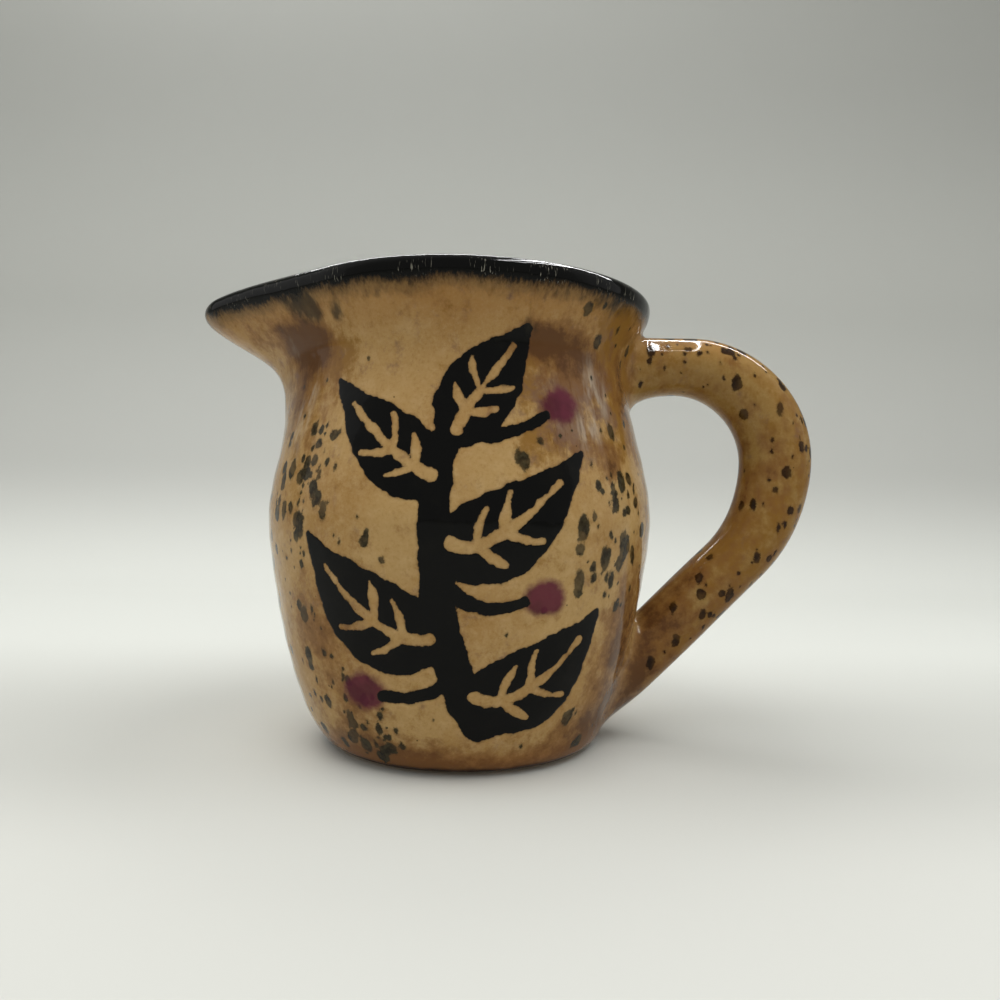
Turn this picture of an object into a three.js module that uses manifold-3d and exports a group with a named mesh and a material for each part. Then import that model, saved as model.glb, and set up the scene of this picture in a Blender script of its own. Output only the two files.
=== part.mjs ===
// A glazed clay creamer: a thrown body with a drawn spout, a pulled handle luted on with slip,
// and the coats of glaze over them.
// Units are millimetres. +Z is up, the spout points along -X and the handle along +X.
// The origin is the centre of the flat foot on the table.
import * as THREE from "three";
import { mergeVertices } from "three/addons/utils/BufferGeometryUtils.js";
import Module from "manifold-3d";

// Body, measured over the glaze
const HEIGHT = 90;
const FOOT_RADIUS = 24.2;
const BELLY_RADIUS = 39.3;
const BELLY_HEIGHT = 45;
const NECK_RADIUS = 32.8;
const NECK_RISE = 35;
const RIM_RADIUS = 38.4;
const COLLAR_DEPTH = 12.4;
const LIP_ROUND = 1.8;
const WALL = 4.2;
const FLOOR = 5.5;
const FLOOR_CORNER = 7;
const HEEL_FULLNESS = 2.05;
const FLANK_FULLNESS = 1.25;

// Spout, drawn out of the rim: a short beak on a longer, slighter pull of the wall
const SPOUT_TIP_RADIUS = 12.4;
const SPOUT_DIP = 1.6;
const SPOUT_DIP_FALL = 2.7;
const BEAK_REACH = 8.4;
const BEAK_DEPTH = 20.4;
const PULL_REACH = 7.4;
const PULL_DEPTH = 32.4;

// Handle, seen from the side
const HANDLE_BELOW_BAND = 0.3;
const HANDLE_TOP_THICKNESS = 12.1;
const HANDLE_BEND_THICKNESS = 14.6;
const HANDLE_TAIL_THICKNESS = 12.7;
const HANDLE_WIDTH = 13.6;
const FINGER_ROOM = 19.5;
const INNER_SWEEP_RADIUS = 25;
const OUTER_SWEEP_RADIUS = 35;
const TAIL_ANGLE = Math.PI / 4;
const TOE_OUT = 14.1;
const TOE_HEIGHT = 9;
const TOE_END = 1.2;
const TOE_INSET = 1.5;
const HANDLE_ROOT = 4;

// Slip joints and glaze coats
const SLIP = 1;
const SLIP_BEAD = 0.9;
const SEAT_GAP = 0.3;
const GLAZE = 0.4;
const COAT_GAP = 0.08;
const GLAZE_LINE = 2.6;
const RIM_BAND = 4.4;

// Fineness of the facets
const SEGMENTS = 44;
const SPOUT_GATHER = 0.45;
const HANDLE_SIDES = 16;

// Sizes that follow from those above
const LIP_HEIGHT = HEIGHT - LIP_ROUND;
const RIM_LINE = HEIGHT - RIM_BAND;
const COLLAR_HEIGHT = LIP_HEIGHT - COLLAR_DEPTH;
const BEAK_HEIGHT = LIP_HEIGHT - BEAK_DEPTH;
const PULL_HEIGHT = LIP_HEIGHT - PULL_DEPTH;
const CORNER_HEIGHT = FLOOR + FLOOR_CORNER;
const SPOUT_REACH = BEAK_REACH + PULL_REACH;
const CLAY_DEPTH = GLAZE + COAT_GAP;

const wasm = await Module();
wasm.setup();

const ease = (t) => THREE.MathUtils.smoothstep(t, 0, 1);

// Outer face as it leaves the wheel: full heel and flank, narrower neck, then a flared collar.
function thrownRadius(height) {
  if (height < BELLY_HEIGHT) {
    const drop = 1 - Math.max(height, 0) / BELLY_HEIGHT;
    const swell = (1 - drop ** FLANK_FULLNESS) ** (1 / HEEL_FULLNESS);
    return FOOT_RADIUS + (BELLY_RADIUS - FOOT_RADIUS) * swell;
  }
  const shoulder = ease((height - BELLY_HEIGHT) / NECK_RISE);
  const collar = ease((height - COLLAR_HEIGHT) / COLLAR_DEPTH);
  return BELLY_RADIUS + (NECK_RADIUS - BELLY_RADIUS) * shoulder + (RIM_RADIUS - NECK_RADIUS) * collar;
}

// Plan of the lip past the rim circle: two straight sides, tangent to the rim, meet in a round tip.
function spoutPlan(azimuth) {
  const angle = Math.abs(Math.atan2(Math.sin(azimuth), Math.cos(azimuth)));
  const tipCentre = RIM_RADIUS + SPOUT_REACH - SPOUT_TIP_RADIUS;
  const tangent = Math.acos((RIM_RADIUS - SPOUT_TIP_RADIUS) / tipCentre);
  const tipSide = SPOUT_TIP_RADIUS * Math.sin(tangent);
  const tipAngle = Math.atan2(tipSide, tipCentre + SPOUT_TIP_RADIUS * Math.cos(tangent));
  if (angle >= tangent) {
    return 0;
  }
  if (angle >= tipAngle) {
    return RIM_RADIUS / Math.cos(tangent - angle) - RIM_RADIUS;
  }
  const across = tipCentre * Math.sin(angle);
  return tipCentre * Math.cos(angle) + Math.sqrt(SPOUT_TIP_RADIUS ** 2 - across ** 2) - RIM_RADIUS;
}

// Outer face with the spout drawn, fading out towards the belly.
function drawnRadius(height, azimuth) {
  const beak = BEAK_REACH * ease((height - BEAK_HEIGHT) / BEAK_DEPTH) ** 2;
  const pull = PULL_REACH * ease((height - PULL_HEIGHT) / PULL_DEPTH);
  return thrownRadius(height) + (spoutPlan(azimuth) * (beak + pull)) / SPOUT_REACH;
}

// How far the lip sinks towards the tip of the spout, fading out below it.
function spoutDip(z, azimuth) {
  const share = spoutPlan(azimuth) / SPOUT_REACH;
  return SPOUT_DIP * share ** SPOUT_DIP_FALL * ease((z - BEAK_HEIGHT) / BEAK_DEPTH);
}

// Radius at height z of the face that lies a given depth inside the outer face, before the lip sinks.
function wallRadius(z, azimuth, depth) {
  const nudge = 0.05;
  const run = (height) => drawnRadius(height + nudge, azimuth) - drawnRadius(height - nudge, azimuth);
  const lean = (height) => Math.atan2(run(height), 2 * nudge);
  let low = z - Math.abs(depth);
  let high = z + Math.abs(depth);
  for (let step = 0; step < 40; step += 1) {
    const middle = (low + high) / 2;
    if (middle + depth * Math.sin(lean(middle)) < z) {
      low = middle;
    } else {
      high = middle;
    }
  }
  return drawnRadius(low, azimuth) - depth * Math.cos(lean(low));
}

// Even steps from one value to another, without the first one.
function spread(from, to, count) {
  return Array.from({ length: count }, (_, i) => from + ((to - from) * (i + 1)) / count);
}

// Heights at which every face of the wall has a ring of points.
const TOP_STATIONS = spread(RIM_LINE, LIP_HEIGHT, 2);
const STATIONS = [
  GLAZE_LINE / 2,
  GLAZE_LINE,
  ...spread(GLAZE_LINE, BELLY_HEIGHT, 6),
  ...spread(BELLY_HEIGHT, COLLAR_HEIGHT, 5),
  ...spread(COLLAR_HEIGHT, RIM_LINE, 4),
  ...TOP_STATIONS,
];
const INNER_STATIONS = [
  CORNER_HEIGHT,
  ...spread(CORNER_HEIGHT, BELLY_HEIGHT, 3),
  ...spread(BELLY_HEIGHT, COLLAR_HEIGHT, 3),
  ...spread(COLLAR_HEIGHT, RIM_LINE, 3),
  ...TOP_STATIONS,
];

function outerFace(azimuth, depth, from, to) {
  const heights = STATIONS.filter((z) => z >= from && z <= to);
  return heights.map((z) => [wallRadius(z, azimuth, depth), z]);
}

function innerFace(azimuth, depth, from, to) {
  const heights = INNER_STATIONS.filter((z) => z >= from && z <= to);
  return heights.reverse().map((z) => [wallRadius(z, azimuth, WALL - depth), z]);
}

// Round top of the wall, between the last point of its outer face and the first of its inner face.
function lipRound(azimuth, depth) {
  const outer = wallRadius(LIP_HEIGHT, azimuth, depth);
  const inner = wallRadius(LIP_HEIGHT, azimuth, WALL - depth);
  const angles = spread(0, Math.PI, 6).slice(0, -1);
  return angles.map((angle) => [
    (outer + inner) / 2 + ((outer - inner) / 2) * Math.cos(angle),
    LIP_HEIGHT + (LIP_ROUND - depth) * Math.sin(angle),
  ]);
}

// Rounded corner between the inner face and the floor, ending on the flat floor.
function floorCorner(azimuth, depth) {
  const flat = wallRadius(CORNER_HEIGHT, azimuth, WALL) - FLOOR_CORNER;
  const across = wallRadius(CORNER_HEIGHT, azimuth, WALL - depth) - flat;
  return spread(0, Math.PI / 2, 4).map((angle) => [
    flat + across * Math.cos(angle),
    CORNER_HEIGHT - (FLOOR_CORNER + depth) * Math.sin(angle),
  ]);
}

// Carries a half section round the axis. Points on the axis are shared, and a section off it is a loop.
// Each facet is split from its lower to its upper edge, a level one from its inner to its outer edge, so
// that faces of neighbouring coats stay parallel.
function carryRound(sectionAt) {
  const rings = [];
  const vertices = [];
  for (let i = 0; i < SEGMENTS; i += 1) {
    const turn = (2 * Math.PI * i) / SEGMENTS;
    const azimuth = turn - SPOUT_GATHER * Math.sin(turn);
    rings.push(
      sectionAt(azimuth).map(([radius, z], j) => {
        if (radius === 0 && i > 0) {
          return rings[0][j];
        }
        const dip = radius === 0 ? 0 : spoutDip(z, azimuth);
        vertices.push(-radius * Math.cos(azimuth), -radius * Math.sin(azimuth), z - dip);
        return vertices.length / 3 - 1;
      }),
    );
  }
  const onAxis = sectionAt(0)[0][0] === 0;
  const steps = onAxis ? rings[0].length - 1 : rings[0].length;
  const level = (point) => vertices[3 * point + 2];
  const reach = (point) => Math.hypot(vertices[3 * point], vertices[3 * point + 1]);
  const faces = [];
  for (let i = 0; i < SEGMENTS; i += 1) {
    const here = rings[i];
    const next = rings[(i + 1) % SEGMENTS];
    for (let j = 0; j < steps; j += 1) {
      const k = (j + 1) % here.length;
      const climbs = (level(here[k]) - level(here[j]) || reach(here[k]) - reach(here[j])) > 0;
      if (here[j] !== next[j]) {
        faces.push(here[j], next[j], climbs ? next[k] : here[k]);
      }
      if (here[k] !== next[k]) {
        faces.push(climbs ? here[j] : next[j], next[k], here[k]);
      }
    }
  }
  return closedGeometry(vertices, faces);
}

function closedGeometry(vertices, faces) {
  const geometry = new THREE.BufferGeometry();
  geometry.setAttribute("position", new THREE.Float32BufferAttribute(vertices, 3));
  geometry.setIndex(faces);
  return geometry;
}

// Everything inside a face parallel to the outer one, for cutting what seats on the wall.
function insideWall(depth) {
  return asSolid(
    carryRound((azimuth) => [
      [0, -SLIP],
      [wallRadius(STATIONS[0], azimuth, depth), -SLIP],
      ...outerFace(azimuth, depth, 0, LIP_HEIGHT),
      [0, LIP_HEIGHT],
    ]),
  );
}

// The two edges of the handle in side view. Each runs out from the neck, bends down, sweeps round
// into a straight tail, passes a toe near the foot and ends inside the wall.
const HANDLE_TOP = RIM_LINE - HANDLE_BELOW_BAND - SLIP_BEAD - SEAT_GAP;
const HANDLE_START = NECK_RADIUS - HANDLE_ROOT;
const INNER_REACH = BELLY_RADIUS + FINGER_ROOM;
const TOE_RADIUS = FOOT_RADIUS - TOE_INSET;
const tail = new THREE.Vector2(-Math.sin(TAIL_ANGLE), -Math.cos(TAIL_ANGLE));
const outerToe = new THREE.Vector2(FOOT_RADIUS + TOE_OUT, TOE_HEIGHT);
const innerToe = new THREE.Vector2(tail.y, -tail.x).multiplyScalar(HANDLE_TAIL_THICKNESS).add(outerToe);

function handleEdge(top, reach, sweep, toe) {
  const meeting = toe.y + (reach - toe.x) / Math.tan(TAIL_ANGLE);
  const turn = meeting + sweep * Math.tan(TAIL_ANGLE / 2);
  const bend = top - turn;
  const edge = new THREE.Path();
  edge.moveTo(HANDLE_START, top);
  edge.lineTo(reach - bend, top);
  edge.absarc(reach - bend, turn, bend, Math.PI / 2, 0, true);
  edge.absarc(reach - sweep, turn, sweep, 0, -TAIL_ANGLE, true);
  edge.lineTo(toe.x, toe.y);
  return edge;
}

const innerEdge = handleEdge(HANDLE_TOP - HANDLE_TOP_THICKNESS, INNER_REACH, INNER_SWEEP_RADIUS, innerToe);
innerEdge.lineTo(TOE_RADIUS, innerToe.y - (innerToe.x - TOE_RADIUS) / 2);
const outerEdge = handleEdge(HANDLE_TOP, INNER_REACH + HANDLE_BEND_THICKNESS, OUTER_SWEEP_RADIUS, outerToe);
const toeBend = outerToe.clone().addScaledVector(tail, TOE_HEIGHT / 2);
outerEdge.quadraticCurveTo(toeBend.x, toeBend.y, TOE_RADIUS, TOE_END);

// Handle as oval rings between the two edges, made larger or smaller all round by a given amount.
function handleLoft(growth) {
  const steps = [3, 8, 6, 5, 4];
  const vertices = [];
  const faces = [];
  let rings = 0;
  const addRing = (inner, outer) => {
    const centre = inner.clone().add(outer).multiplyScalar(0.5);
    const reach = outer.clone().sub(inner).multiplyScalar(0.5);
    reach.setLength(reach.length() + growth);
    for (let side = 0; side < HANDLE_SIDES; side += 1) {
      const angle = (2 * Math.PI * side) / HANDLE_SIDES;
      const across = (HANDLE_WIDTH / 2 + growth) * Math.sin(angle);
      vertices.push(centre.x + reach.x * Math.cos(angle), across, centre.y + reach.y * Math.cos(angle));
    }
    rings += 1;
  };
  addRing(innerEdge.curves[0].getPoint(0), outerEdge.curves[0].getPoint(0));
  steps.forEach((count, part) => {
    spread(0, 1, count).forEach((share) => {
      addRing(innerEdge.curves[part].getPoint(share), outerEdge.curves[part].getPoint(share));
    });
  });
  const at = (ring, side) => ring * HANDLE_SIDES + (side % HANDLE_SIDES);
  for (let ring = 0; ring + 1 < rings; ring += 1) {
    for (let side = 0; side < HANDLE_SIDES; side += 1) {
      faces.push(at(ring, side), at(ring + 1, side + 1), at(ring, side + 1));
      faces.push(at(ring, side), at(ring + 1, side), at(ring + 1, side + 1));
    }
  }
  for (let side = 1; side + 1 < HANDLE_SIDES; side += 1) {
    faces.push(at(0, 0), at(0, side), at(0, side + 1));
    faces.push(at(rings - 1, 0), at(rings - 1, side + 1), at(rings - 1, side));
  }
  return asSolid(closedGeometry(vertices, faces));
}

// Joining and cutting
function asSolid(geometry) {
  const welded = mergeVertices(geometry, 1e-6);
  const mesh = new wasm.Mesh({
    numProp: 3,
    vertProperties: Float32Array.from(welded.getAttribute("position").array),
    triVerts: Uint32Array.from(welded.getIndex().array),
  });
  return new wasm.Manifold(mesh);
}

function asGeometry(solid) {
  const mesh = solid.getMesh();
  return closedGeometry(Array.from(mesh.vertProperties), Array.from(mesh.triVerts));
}

// The part of a solid above a level, kept by a block that is larger than the jug.
function keepAbove(solid, level) {
  const size = 4 * HEIGHT;
  const block = new THREE.BoxGeometry(size, size, size).translate(0, 0, level + size / 2);
  block.deleteAttribute("normal");
  block.deleteAttribute("uv");
  return solid.intersect(asSolid(block));
}

// Clay
const bodyGeometry = carryRound((azimuth) => [
  [0, 0],
  [FOOT_RADIUS - CLAY_DEPTH, 0],
  ...outerFace(azimuth, CLAY_DEPTH, 0, LIP_HEIGHT),
  ...lipRound(azimuth, CLAY_DEPTH),
  ...innerFace(azimuth, CLAY_DEPTH, CORNER_HEIGHT, LIP_HEIGHT),
  ...floorCorner(azimuth, CLAY_DEPTH),
  [0, FLOOR - CLAY_DEPTH],
]);
const handleSeat = insideWall(-(SLIP + SEAT_GAP));
const handleGeometry = asGeometry(handleLoft(-CLAY_DEPTH).subtract(handleSeat));

// Slip, squeezed out a little past the handle all round
const slipFace = insideWall(CLAY_DEPTH - SEAT_GAP);
const slip = handleLoft(SLIP_BEAD).intersect(insideWall(-SLIP)).subtract(slipFace);
const upperSlip = keepAbove(slip, BELLY_HEIGHT);
const lowerSlip = slip.subtract(upperSlip);

// Glaze coats
const outerCoat = carryRound((azimuth) => [
  ...outerFace(azimuth, 0, GLAZE_LINE, RIM_LINE),
  ...outerFace(azimuth, GLAZE, GLAZE_LINE, RIM_LINE).reverse(),
]);
const outerGlazeGeometry = asGeometry(asSolid(outerCoat).subtract(handleLoft(SLIP_BEAD + SEAT_GAP)));
const handleGlazeGeometry = asGeometry(handleLoft(0).subtract(handleLoft(-GLAZE)).subtract(handleSeat));
const rimGlazeGeometry = carryRound((azimuth) => [
  ...outerFace(azimuth, 0, RIM_LINE, LIP_HEIGHT),
  ...lipRound(azimuth, 0),
  ...innerFace(azimuth, 0, RIM_LINE, LIP_HEIGHT),
  ...innerFace(azimuth, GLAZE, RIM_LINE, LIP_HEIGHT).reverse(),
  ...lipRound(azimuth, GLAZE).reverse(),
  ...outerFace(azimuth, GLAZE, RIM_LINE, LIP_HEIGHT).reverse(),
]);
const linerGlazeGeometry = carryRound((azimuth) => [
  [0, FLOOR - GLAZE],
  ...floorCorner(azimuth, GLAZE).reverse(),
  ...innerFace(azimuth, GLAZE, CORNER_HEIGHT, RIM_LINE).reverse(),
  ...innerFace(azimuth, 0, CORNER_HEIGHT, RIM_LINE),
  ...floorCorner(azimuth, 0),
  [0, FLOOR],
]);

// Assembly
function piece(name, geometry, color, roughness) {
  const material = new THREE.MeshStandardMaterial({ color, roughness, metalness: 0 });
  const mesh = new THREE.Mesh(geometry, material);
  mesh.name = name;
  return mesh;
}

const vessel = new THREE.Group();
vessel.name = "vessel";
vessel.add(
  piece("body", bodyGeometry, 0xb59a78, 0.85),
  piece("outer_glaze", outerGlazeGeometry, 0xa07a46, 0.15),
  piece("rim_glaze", rimGlazeGeometry, 0x14140f, 0.15),
  piece("liner_glaze", linerGlazeGeometry, 0xa8875a, 0.15),
);

const grip = new THREE.Group();
grip.name = "grip";
grip.add(
  piece("handle", handleGeometry, 0xb59a78, 0.85),
  piece("handle_glaze", handleGlazeGeometry, 0x96703a, 0.15),
  piece("upper_slip_joint", asGeometry(upperSlip), 0x8a6236, 0.6),
  piece("lower_slip_joint", asGeometry(lowerSlip), 0x8a6236, 0.6),
);

const creamer = new THREE.Group();
creamer.name = "creamer";
creamer.add(vessel, grip);

export default creamer;
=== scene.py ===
"""Looks of the glazed clay creamer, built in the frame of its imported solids.

The forms repeat the named sizes of the part, in millimetres, on a finer mesh: a thrown wall with a
drawn spout, a pulled handle with filleted joints, and a bare clay foot. Blender's own units are metres.
"""
import math

import bpy
import numpy as np
from mathutils import Matrix, Vector


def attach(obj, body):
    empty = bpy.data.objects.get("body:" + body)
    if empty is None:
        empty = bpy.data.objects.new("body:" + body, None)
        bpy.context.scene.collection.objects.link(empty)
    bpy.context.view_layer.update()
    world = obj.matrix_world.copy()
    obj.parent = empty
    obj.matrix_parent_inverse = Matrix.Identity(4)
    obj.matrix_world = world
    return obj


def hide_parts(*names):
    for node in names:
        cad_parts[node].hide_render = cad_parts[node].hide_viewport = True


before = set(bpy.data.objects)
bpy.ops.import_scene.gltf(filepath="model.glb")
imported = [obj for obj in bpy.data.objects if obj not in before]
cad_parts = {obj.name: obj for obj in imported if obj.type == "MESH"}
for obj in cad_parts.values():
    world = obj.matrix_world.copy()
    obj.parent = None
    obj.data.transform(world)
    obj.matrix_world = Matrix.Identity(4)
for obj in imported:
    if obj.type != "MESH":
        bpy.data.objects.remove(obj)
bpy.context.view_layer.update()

MM = 0.001

# Body, measured over the glaze
HEIGHT = 90
FOOT_RADIUS = 24.2
BELLY_RADIUS = 39.3
BELLY_HEIGHT = 45
NECK_RADIUS = 32.8
NECK_RISE = 35
RIM_RADIUS = 38.4
COLLAR_DEPTH = 12.4
LIP_ROUND = 1.8
WALL = 4.2
FLOOR = 5.5
FLOOR_CORNER = 7
HEEL_FULLNESS = 2.05
FLANK_FULLNESS = 1.25

# Spout
SPOUT_TIP_RADIUS = 12.4
SPOUT_DIP = 1.6
SPOUT_DIP_FALL = 2.7
BEAK_REACH = 8.4
BEAK_DEPTH = 20.4
PULL_REACH = 7.4
PULL_DEPTH = 32.4

# Handle
HANDLE_TOP = 84.1
HANDLE_TOP_THICKNESS = 12.1
HANDLE_BEND_THICKNESS = 14.6
HANDLE_TAIL_THICKNESS = 12.7
HANDLE_WIDTH = 13.6
FINGER_ROOM = 19.5
INNER_SWEEP_RADIUS = 25
OUTER_SWEEP_RADIUS = 35
TAIL_ANGLE = math.pi / 4
TOE_OUT = 14.1
TOE_HEIGHT = 9
TOE_END = 1.2
TOE_INSET = 1.5
HANDLE_ROOT = 4

# Glaze
COAT_DEPTH = 0.46
COAT_LAP = 0.03
GLAZE_LINE = 0.6
GLAZE_ROLL = 0.5
RIM_BAND = 4.4

# Foot
FOOT_FLAT = 22.6
FOOT_HOLLOW = 0.05
FOOT_MIDDLE = 0.004
HEEL_START = 0.12
HEEL_PRESS = 1.7
HEEL_PRESS_HEIGHT = 9

# Sizes that follow from those above
LIP_HEIGHT = HEIGHT - LIP_ROUND
RIM_LINE = HEIGHT - RIM_BAND
COLLAR_HEIGHT = LIP_HEIGHT - COLLAR_DEPTH
BEAK_HEIGHT = LIP_HEIGHT - BEAK_DEPTH
PULL_HEIGHT = LIP_HEIGHT - PULL_DEPTH
CORNER_HEIGHT = FLOOR + FLOOR_CORNER
SPOUT_REACH = BEAK_REACH + PULL_REACH
CLAY_DEPTH = COAT_DEPTH + COAT_LAP

# Fineness of the mesh
AROUND = 600
WALL_ROWS = 230
LIP_ROWS = 30
INNER_RIM_ROWS = 10
LINER_ROWS = 90
TICK_ROWS = 30
HANDLE_AROUND = 120
HANDLE_ROWS = 250


# Wall
def ease(t):
    t = np.clip(t, 0, 1)
    return t * t * (3 - 2 * t)


def turned_radius(height):
    drop = 1 - np.clip(height, 0, BELLY_HEIGHT) / BELLY_HEIGHT
    swell = (1 - drop**FLANK_FULLNESS) ** (1 / HEEL_FULLNESS)
    heel = FOOT_RADIUS + (BELLY_RADIUS - FOOT_RADIUS) * swell
    shoulder = (NECK_RADIUS - BELLY_RADIUS) * ease((height - BELLY_HEIGHT) / NECK_RISE)
    collar = (RIM_RADIUS - NECK_RADIUS) * ease((height - COLLAR_HEIGHT) / COLLAR_DEPTH)
    return heel + shoulder + collar


def thrown_radius(height):
    """Outer face as it leaves the wheel, with the joins between its curves smoothed by hand."""
    reach = 3.2 * ease((height - 5) / 14) * ease((LIP_HEIGHT - height) / 6)
    steps = np.linspace(-2, 2, 17)
    weights = np.exp(-(steps**2) / 1.3)
    total = sum(w * turned_radius(height + reach * step) for step, w in zip(steps, weights))
    return total / weights.sum()


def spout_plan(azimuth):
    """Reach of the lip past the rim circle: two straight sides that meet in a round tip."""
    angle = np.abs(np.arctan2(np.sin(azimuth), np.cos(azimuth)))
    tip_centre = RIM_RADIUS + SPOUT_REACH - SPOUT_TIP_RADIUS
    tangent = math.acos((RIM_RADIUS - SPOUT_TIP_RADIUS) / tip_centre)
    tip_side = SPOUT_TIP_RADIUS * math.sin(tangent)
    tip_angle = math.atan2(tip_side, tip_centre + SPOUT_TIP_RADIUS * math.cos(tangent))
    side = RIM_RADIUS / np.cos(np.clip(tangent - angle, 0, tangent)) - RIM_RADIUS
    across = tip_centre * np.sin(np.minimum(angle, tip_angle))
    tip = tip_centre * np.cos(angle) + np.sqrt(SPOUT_TIP_RADIUS**2 - across**2) - RIM_RADIUS
    return np.where(angle < tip_angle, tip, np.where(angle < tangent, side, 0))


def hand_of_potter(height, azimuth):
    """Slight unevenness from throwing and smoothing by hand, and a heel pressed fuller beside the handle."""
    rings = 0.035 * np.sin(height * 0.95 + azimuth + 0.4 * np.sin(2 * azimuth))
    lobes = 0.12 * np.sin(2 * azimuth + 0.9 + height * 0.012) + 0.07 * np.sin(3 * azimuth + height * 0.05)
    dents = 0.05 * np.sin(5 * azimuth + height * 0.11) * np.sin(height * 0.17 + 1.3)
    beside_handle = ease(0.15 - 0.75 * np.cos(azimuth))
    pressed = HEEL_PRESS * beside_handle * (1 - ease(height / HEEL_PRESS_HEIGHT))
    return (rings + lobes + dents) * ease(height / 8) + pressed


def drawn_radius(height, azimuth):
    beak = BEAK_REACH * ease((height - BEAK_HEIGHT) / BEAK_DEPTH) ** 2
    pull = PULL_REACH * ease((height - PULL_HEIGHT) / PULL_DEPTH)
    spout = spout_plan(azimuth) * (beak + pull) / SPOUT_REACH
    return thrown_radius(height) + spout + hand_of_potter(height, azimuth)


def spout_dip(level, azimuth):
    """How far the lip sinks towards the tip of the spout, fading out below it."""
    share = spout_plan(azimuth) / SPOUT_REACH
    return SPOUT_DIP * share**SPOUT_DIP_FALL * ease((level - BEAK_HEIGHT) / BEAK_DEPTH)


def wall_lean(height, azimuth):
    nudge = 0.05
    run = drawn_radius(height + nudge, azimuth) - drawn_radius(np.maximum(height - nudge, 0), azimuth)
    return np.arctan2(run, height + nudge - np.maximum(height - nudge, 0))


def under_face(height, azimuth, depth):
    """Radius and level of the point a given depth behind the outer face, square to that face."""
    lean = wall_lean(height, azimuth)
    return drawn_radius(height, azimuth) - depth * np.cos(lean), height + depth * np.sin(lean)


def inner_radius(level, azimuth):
    """Radius of the inner face at a level."""
    low = level - WALL + 0 * azimuth
    high = level + WALL + 0 * azimuth
    for _ in range(34):
        middle = (low + high) / 2
        below = middle + WALL * np.sin(wall_lean(middle, azimuth)) < level
        low = np.where(below, middle, low)
        high = np.where(below, high, middle)
    return under_face(low, azimuth, WALL)[0]


def rows(start, end, count):
    """Evenly spaced values as a column, one for each row of a mesh, without the first."""
    return (start + (end - start) * np.arange(1, count + 1) / count)[:, None]


def around_axis(radius, level, azimuth):
    radius, level, azimuth = np.broadcast_arrays(radius, level, azimuth)
    sunk = level - spout_dip(level, azimuth) * ease(radius / 20)
    return np.stack([-radius * np.cos(azimuth), -radius * np.sin(azimuth), sunk], axis=-1)


def grid_facing(points):
    """Normals of a grid of points that closes on itself along its second axis, as long as the area there."""
    along = np.gradient(points, axis=0)
    across = (np.roll(points, -1, axis=1) - np.roll(points, 1, axis=1)) / 2
    return np.cross(across, along)


def grid_normals(points):
    normals = grid_facing(points)
    length = np.linalg.norm(normals, axis=-1, keepdims=True)
    return normals / np.maximum(length, 1e-12)


turn = np.linspace(0, 2 * math.pi, AROUND, endpoint=False)
AZIMUTH = (turn - 0.3 * np.sin(turn))[None, :]

glaze_line = (
    GLAZE_LINE
    + 0.12 * np.sin(3 * AZIMUTH + 0.4)
    + 0.09 * np.sin(7 * AZIMUTH + 2.1)
    + 0.05 * np.sin(13 * AZIMUTH + 1.2)
)


def wall_grid():
    """Outer face from the rolled edge of the glaze, over the lip, down the inside to the floor."""
    roll = rows(0, math.pi / 2, 10)
    edge = under_face(glaze_line + GLAZE_ROLL * (1 - np.cos(roll)), AZIMUTH, COAT_DEPTH * (1 - np.sin(roll)))
    start = glaze_line + GLAZE_ROLL
    outer = start + (RIM_LINE - start) * rows(0, 1, WALL_ROWS)
    top = rows(RIM_LINE, LIP_HEIGHT, 14) + 0 * AZIMUTH
    out_lip = drawn_radius(np.full_like(AZIMUTH, LIP_HEIGHT), AZIMUTH)
    in_lip = inner_radius(np.full_like(AZIMUTH, LIP_HEIGHT), AZIMUTH)
    round_lip = rows(0, math.pi, LIP_ROWS)
    lip_radius = (out_lip + in_lip) / 2 + (out_lip - in_lip) / 2 * np.cos(round_lip)
    lip_level = LIP_HEIGHT + LIP_ROUND * np.sin(round_lip) + 0 * AZIMUTH
    inner_top = rows(LIP_HEIGHT, RIM_LINE, INNER_RIM_ROWS) + 0 * AZIMUTH
    inner = rows(RIM_LINE, CORNER_HEIGHT, LINER_ROWS) + 0 * AZIMUTH
    corner = rows(0, math.pi / 2, 16)
    corner_radius = inner_radius(np.full_like(AZIMUTH, CORNER_HEIGHT), AZIMUTH)
    flat = corner_radius - FLOOR_CORNER
    floor = rows(1, 0.002, 30)
    parts = {
        "wall": [edge, (drawn_radius(outer, AZIMUTH), outer)],
        "rim": [
            (drawn_radius(top, AZIMUTH), top),
            (lip_radius, lip_level),
            (inner_radius(inner_top, AZIMUTH), inner_top),
        ],
        "liner": [
            (inner_radius(inner, AZIMUTH), inner),
            (flat + FLOOR_CORNER * np.cos(corner), CORNER_HEIGHT - FLOOR_CORNER * np.sin(corner)),
            (flat * floor, FLOOR + 0 * AZIMUTH + 0.25 * np.cos(floor * 21) * floor * (1 - floor)),
        ],
    }
    points, ends = [], {}
    first = 0
    for name, faces in parts.items():
        for radius, level in faces:
            points.append(around_axis(radius, level, AZIMUTH))
            first += len(points[-1])
        ends[name] = first
    return np.concatenate(points), ends


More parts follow.
